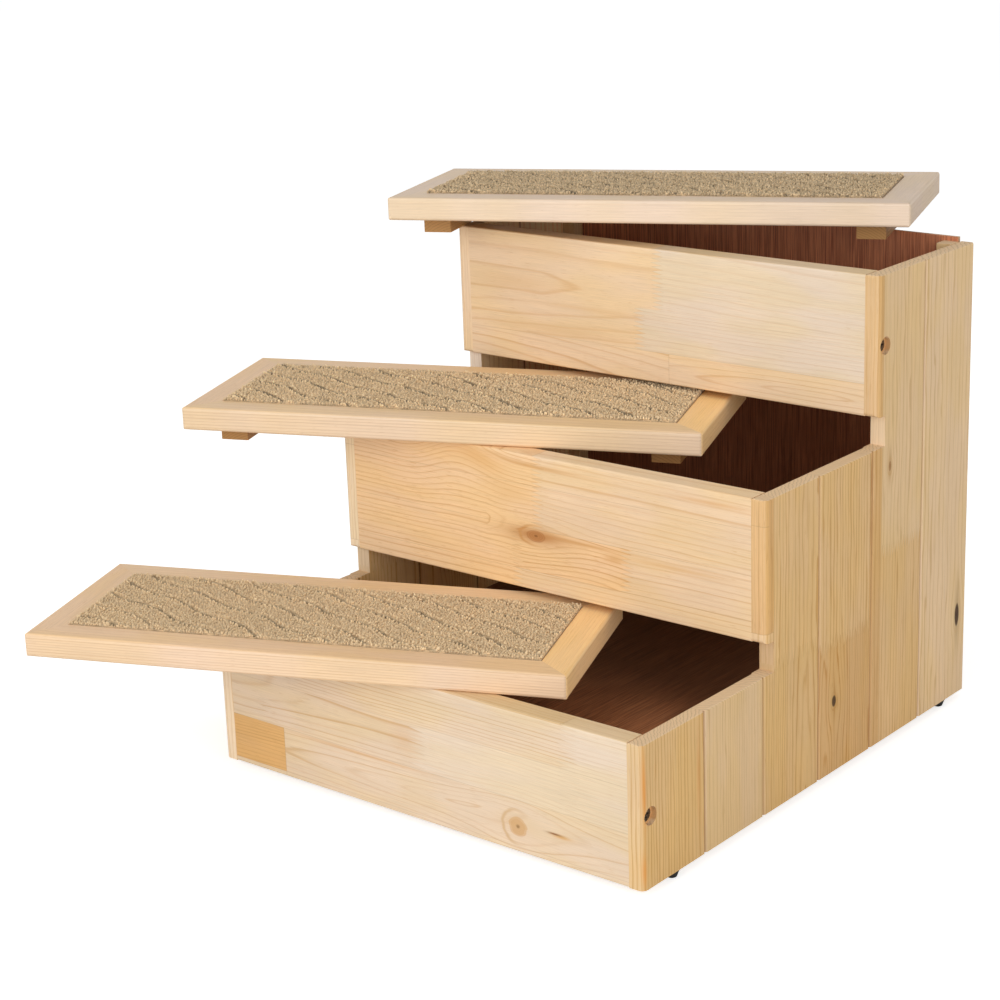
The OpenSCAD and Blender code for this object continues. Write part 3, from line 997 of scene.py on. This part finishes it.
    def feet(self) -> None:
        """Four rubber feet, turned with a rounded shoulder and a hollow at the tip."""
        material = Rubber("foot_rubber").material()
        for name in ("front_right", "front_left", "back_right", "back_left"):
            low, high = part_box(f"{name}_foot")
            middle = (low + high) / 2
            top, tip, height = (high.x - low.x) / 2, (high.x - low.x) * 0.375, high.z - low.z
            bm = bmesh.new()
            verts = []
            for across, up in FOOT:
                radius = across * (tip + (top - tip) * up)
                verts.append(bm.verts.new(Vector((middle.x + radius, middle.y, low.z + up * height))))
            edges = [bm.edges.new(pair) for pair in zip(verts, verts[1:])]
            bmesh.ops.spin(
                bm, geom=[*verts, *edges], cent=Vector((middle.x, middle.y, low.z)), axis=Vector((0, 0, 1)),
                angle=math.tau, steps=32, use_merge=True,
            )
            bmesh.ops.remove_doubles(bm, verts=bm.verts, dist=WELD)
            bmesh.ops.recalc_face_normals(bm, faces=bm.faces)
            piece = add_piece(bm, f"{name}_foot_turned", "carcass", material, smooth=True)
            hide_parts(f"{name}_foot")
        log.info("feet: turned rubber")


@dataclass
class Carpet:
    """Carpet in a lid: a backed pile with wavy channels pressed into it.

    The play is the gap round it, proud is how far it stands above the rails, and base is how high
    the base panel under it reaches.
    """

    lid: "Lid"
    pitch: float = 21.0
    slant: float = 31.0
    wave: float = 2.6
    wave_length: float = 74.0
    drift: float = 3.0
    kink: float = 1.6
    channel: float = 1.4
    channel_depth: float = 3.4
    bulge: float = 0.9
    bulge_at: float = 2.6
    bulge_width: float = 1.2
    edge_drop: float = 0.7
    grid: float = 2.2
    tuft: float = 1.5
    tuft_gap: float = 2.1
    play: float = 0.3
    proud: float = 2.1
    base: float = 9.0

    def __post_init__(self) -> None:
        """Takes the carpet's sizes from its lid, and seeds its scatter."""
        self.random = random.Random(100 + self.lid.number)
        self.half = [size / 2 - self.lid.rail - self.play for size in (self.lid.length, self.lid.depth)]
        self.top = self.lid.thick / 2 + self.proud
        self.bottom = -self.lid.thick / 2 + self.base
        self.channel *= self.lid.speckle ** 0.7

    def rim(self, u: float, v: float) -> float:
        """Distance to the nearest edge, in millimetres."""
        return max(0.0, min(self.half[0] - abs(u), self.half[1] - abs(v)))

    def channels(self, u: float, v: float) -> float:
        """How deep the pile lies in a channel; less than 0 where it bulges beside one.

        Args:
            u: place along the lid, in millimetres.
            v: place from front to back, in millimetres.

        Returns:
            The depth, in millimetres.
        """
        angle = math.radians(self.slant)
        shift = self.lid.number * 7.3
        run = u * math.cos(angle) - v * math.sin(angle)
        side = u * math.sin(angle) + v * math.cos(angle) + shift
        drift = noise.noise(Vector((u * 0.02, v * 0.02, shift)))
        side += self.wave * math.sin(math.tau * run / self.wave_length + shift) + drift * self.drift
        side += self.kink * noise.noise(Vector((u * 0.09, v * 0.09, 8.0 + shift)))
        away = abs((side / self.pitch) % 1.0 - 0.5) * self.pitch
        broken = 0.8 + 0.9 * noise.noise(Vector((u * 0.33, v * 0.33, 5.0 + shift)))
        broken *= 1.0 - math.exp(-self.rim(u, v) / 2.5)
        depth = self.channel_depth * max(0.0, broken) * math.exp(-((away / self.channel) ** 2))
        return depth - self.bulge * math.exp(-(((away - self.bulge_at) / self.bulge_width) ** 2))

    def sink(self, u: float, v: float) -> float:
        """How deep the pile lies in a channel or at the edge, in millimetres."""
        return self.channels(u, v) + self.edge_drop * math.exp(-self.rim(u, v) / 1.1)

    def height(self, u: float, v: float) -> float:
        """Height of the pile at a place, in millimetres."""
        soft = noise.noise(Vector((u * 0.11, v * 0.11, 2.0))) * 0.35
        near = noise.voronoi(Vector((u, v, 0.0)) / self.tuft_gap)[0][0]
        return self.top - self.sink(u, v) + soft - 0.9 * near - 0.8

    def build(self) -> None:
        """Makes the carpet and puts it in the place of its node."""
        bm = bmesh.new()
        counts = [round(2 * half / self.grid) for half in self.half]
        bmesh.ops.create_grid(bm, x_segments=counts[0], y_segments=counts[1], size=1.0)
        rim = [e for e in bm.edges if e.is_boundary]
        for vert in bm.verts:
            u, v = vert.co.x * self.half[0], vert.co.y * self.half[1]
            vert.co = Vector((u, v, self.height(u, v)))
        walls = bmesh.ops.extrude_edge_only(bm, edges=rim)["geom"]
        for vert in (item for item in walls if isinstance(item, bmesh.types.BMVert)):
            vert.co.z = self.bottom
        bmesh.ops.holes_fill(bm, edges=[e for e in bm.edges if e.is_boundary], sides=0)
        bmesh.ops.recalc_face_normals(bm, faces=bm.faces)
        bm.verts.layers.float.new("pile_tint_light_and_shade")
        self.scatter(bm)
        # painted shade: the lower the pile, the darker it is drawn
        layer = bm.verts.layers.float.new("pile_height")
        for vert in bm.verts:
            vert[layer] = max(0.0, min(1.0, (vert.co.z - self.top + 2.9) / 2.1))
        bmesh.ops.transform(bm, matrix=self.lid.matrix(), verts=bm.verts)
        name = f"lid_{self.lid.number}_carpet"
        # painted shade: the lid's pile gain darkens the tips
        tip = tuple(self.lid.pile * c for c in Pile.tip)
        material = Pile(f"{name}_pile", self.lid.axes, tip, contrast=self.lid.speckle).material()
        piece = add_piece(bm, f"{name}_pile", self.lid.body, material)
        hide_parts(name)
        log.info("%s: %d faces", piece.name, len(piece.data.polygons))

    def scatter(self, bm: bmesh.types.BMesh) -> None:
        """Adds the tufts of the pile, each a small blob that stands its own way.

        Args:
            bm: the carpet's shape, in the lid's own axes.
        """
        store = bpy.data.meshes.new("tufts")
        batch = bmesh.new()
        rows = int(2 * self.half[1] / self.tuft_gap)
        columns = int(2 * self.half[0] / self.tuft_gap)
        for row in range(rows + 1):
            tint = batch.verts.layers.float.new("pile_tint_light_and_shade")
            for column in range(columns + 1):
                jitter = [self.random.uniform(-0.42, 0.42) * self.tuft_gap for _ in range(2)]
                u = -self.half[0] + column * self.tuft_gap + jitter[0] + (row % 2) * self.tuft_gap / 2
                v = -self.half[1] + row * self.tuft_gap + jitter[1]
                u = max(-self.half[0] + 0.5, min(self.half[0] - 0.5, u))
                v = max(-self.half[1] + 0.5, min(self.half[1] - 0.5, v))
                size = self.tuft * self.random.uniform(0.7, 1.1)
                dip = self.channels(u, v)
                rise = self.top - min(self.sink(u, v), 0.8) - 0.75 + self.random.uniform(-0.25, 0.25)
                lean = [self.random.uniform(-0.55, 0.55) for _ in range(2)]
                turn = Euler([*lean, self.random.uniform(0, math.tau)])
                stretch = Vector((size * 0.85, size * 0.62, size * 1.15))
                shape = Matrix.LocRotScale(Vector((u, v, rise)), turn, stretch)
                made = bmesh.ops.create_icosphere(batch, subdivisions=1, radius=0.8, matrix=shape)
                # painted shade and light: tufts in a channel are darkened and tufts on the bulge beside it
                # lightened, over a random tint
                sunk = min(1.0, max(0.0, (dip - 0.3) * 1.3))
                shade = self.random.uniform(-0.75, 0.75) - 1.2 * min(dip, 0.0) - 3.3 * sunk
                for vert in made["verts"]:
                    vert[tint] = shade
            batch.to_mesh(store)
            bm.from_mesh(store)
            batch.clear()
        batch.free()
        bpy.data.meshes.remove(store)


@dataclass
class Lid:
    """One loose lid: a mitred frame with a carpet, and two cleats under it."""

    number: int
    turn: Triple
    tones: dict[str, Tone]
    figure: float = 0.6
    # painted light: tint of the rails' top faces, by how light falls on them
    top_light_tint: Colour = (1.02, 0.96, 0.84)
    # painted shade: a gain below 1 darkens the pile's tips
    pile: float = 1.0
    speckle: float = 1.0
    length: float = 408.0
    depth: float = 160.0
    thick: float = 18.0
    rail: float = 24.5

    def __post_init__(self) -> None:
        """Finds the lid's own axes from its rails."""
        self.body = f"lid_{self.number}"
        corners = [c for rail in self.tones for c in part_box(f"{self.body}_{rail}_rail")]
        low = Vector([min(c[k] for c in corners) for k in range(3)])
        high = Vector([max(c[k] for c in corners) for k in range(3)])
        turn = Euler([math.radians(a) for a in self.turn])
        self.axes = Axes((low + high) / 2, turn)

    def matrix(self) -> Matrix:
        """Matrix that puts a shape in the lid's own millimetres in its place."""
        return Matrix.LocRotScale(self.axes.origin, self.axes.turn, Vector((MM, MM, MM)))

    def build(self) -> None:
        """Dresses every piece of the lid."""
        self.rails()
        self.underside()
        Carpet(self).build()
        log.info("%s: rails, base, cleats and carpet", self.body)

    def rails(self) -> None:
        """Four mitred rails with the grain along each."""
        for k, (name, tone) in enumerate(self.tones.items()):
            lengthwise = k < 2
            grain = Grain.LENGTHWISE if lengthwise else Grain.FRONT_TO_BACK
            figure = self.figure * (1.0 if lengthwise else 0.6)
            growth = Growth(8.0 * k - 20, -140.0 - 20 * self.number, 1.7 + 0.1 * k, figure, 0.006)
            # painted light: the rails' top faces take the lid's top tint
            finish = Pine(
                f"{self.body}_{name}_rail", self.axes, grain, tone, growth, self.number * 9.1 + k * 2.3, 1.5,
                edge_light_tint=self.top_light_tint, edge_calm=0.6, end_tone=tone.pale,
            )
            way = Vector((1, 0, 0)) if lengthwise else Vector((0, 1, 0))
            way.rotate(self.axes.turn)
            ease(finish, 1.1, self.body, way)

    def underside(self) -> None:
        """Base panel, cleats and their screws."""
        veneer = (0.46, 0.3, 0.17), (0.3, 0.17, 0.09)
        node = f"{self.body}_base_panel"
        paint(Plywood(node, self.axes, Grain.LENGTHWISE, *veneer, seed=self.number * 3.0))
        tan = Tone((0.43, 0.235, 0.09), (0.26, 0.12, 0.038))
        for k, name in enumerate(("right", "left")):
            growth = Growth(150.0 - 300.0 * k, -60, 2)
            finish = Pine(
                f"{self.body}_{name}_cleat", self.axes, Grain.FRONT_TO_BACK, tan, growth,
                80.0 + self.number * 3 + k, 1.5, end_tone=(0.5, 0.27, 0.1),
            )
            ease(finish, 0.8, self.body)
        paint(Steel(f"{self.body}_cleat_screws"))


@dataclass
class Studio:
    """White studio: floor, soft lamps, world and camera."""

    camera_at: Triple = (1.09485, -1.33039, 0.72024)
    camera_right: Triple = (0.775479, 0.630423, -0.03463)
    camera_down: Triple = (0.163744, -0.253788, -0.953299)
    lens: float = 84.694
    ambient: float = 0.42
    floor_radius: float = 9.0
    floor_glow: float = 0.64
    floor_white: float = 0.86

    def build(self) -> None:
        """Makes the studio."""
        bpy.context.scene.view_settings.view_transform = "Standard"
        self.camera()
        self.floor()
        self.world()
        self.lamps()

    def camera(self) -> None:
        """Camera at the photograph's place, by its own right and down directions."""
        data = bpy.data.cameras.new("camera")
        data.lens, data.sensor_width, data.clip_start, data.clip_end = self.lens, 36.0, 0.05, 50.0
        camera = put("camera", data)
        right, up = Vector(self.camera_right), -Vector(self.camera_down)
        axes = Matrix((right, up, right.cross(up))).transposed()
        camera.matrix_world = Matrix.Translation(self.camera_at) @ axes.to_4x4()
        bpy.context.scene.camera = camera

    def floor(self) -> None:
        """Pale floor that stays white to the camera and keeps the shadow."""
        bm = bmesh.new()
        bmesh.ops.create_circle(bm, cap_ends=True, segments=96, radius=self.floor_radius)
        mesh = bpy.data.meshes.new("floor")
        bm.to_mesh(mesh)
        bm.free()
        floor = put("floor", mesh)
        g = Graph("floor")
        seen = g.node("LightPath", out="Is Camera Ray")
        glow = g.node("Emission", {"Color": WHITE, "Strength": seen * self.floor_glow})
        matt = g.node("BsdfDiffuse", {"Color": (self.floor_white,) * 3})
        both = g.node("AddShader", {0: glow, 1: matt})
        g.feed(g.output, {0: both})
        dress(floor, g.owner)

    def world(self) -> None:
        """Even pale light, white where the camera sees it."""
        g = Graph("studio", world=True)
        bpy.context.scene.world = g.owner
        rays = ("Is Camera Ray", "Is Glossy Ray", "Is Transmission Ray")
        camera, glossy, through = (g.node("LightPath", out=ray) for ray in rays)
        seen = camera.math("MAXIMUM", glossy).math("MAXIMUM", through)
        sky, plain = (g.node("Background", {0: WHITE, 1: gain}) for gain in (self.ambient, 1.0))
        g.feed(g.output, {0: g.node("MixShader", {0: seen, 1: sky, 2: plain})})

    def lamps(self) -> None:
        """Soft square lamps that look at the stairs, with their sides in metres and powers in watts."""
        for name, at, side, power in (
            ("key", (-0.9, -2.5, 0.95), 2.0, 26.0),
            ("fill", (2.25, -1.5, 0.75), 1.8, 30.5),
            ("top", (-0.2, -0.7, 2.2), 1.4, 8.0),
        ):
            data = bpy.data.lights.new(name, "AREA")
            data.energy, data.size = power, side
            lamp = put(name, data)
            lamp.location = at
            aim = Vector((0.0, 0.0, 0.2)) - lamp.location
            lamp.rotation_euler = aim.to_track_quat("-Z", "Y").to_euler()


def main() -> None:
    """Builds the studio, the carcass and the three lids."""
    logging.basicConfig(level=logging.INFO, format="%(message)s")
    Studio().build()
    Carcass().build()
    rose = Tone((0.83, 0.61, 0.415), (0.62, 0.38, 0.2))
    cream = Tone((0.82, 0.62, 0.42), (0.62, 0.41, 0.23))
    white = Tone((0.82, 0.65, 0.48), (0.68, 0.49, 0.32))
    golden = Tone((0.96, 0.68, 0.36), (0.74, 0.46, 0.19))
    rails = {"front": rose, "rear": cream, "right": golden, "left": rose}
    for lid in (
        Lid(1, (0.0, 0.0, 22.4), rails, speckle=0.85),
        Lid(2, (0.0, 0.0, 21.9), {**rails, "front": cream}, speckle=1.5),
        # painted shade: lid 3's rail tops are tinted darker and cooler, and its pile is darkened by 0.84
        Lid(3, (-1.36, -0.62, 21.4), dict.fromkeys(rails, white), 0.3, (0.9, 0.87, 0.84), 0.84, 1.85),
    ):
        lid.build()


if __name__ == "__main__":
    main()
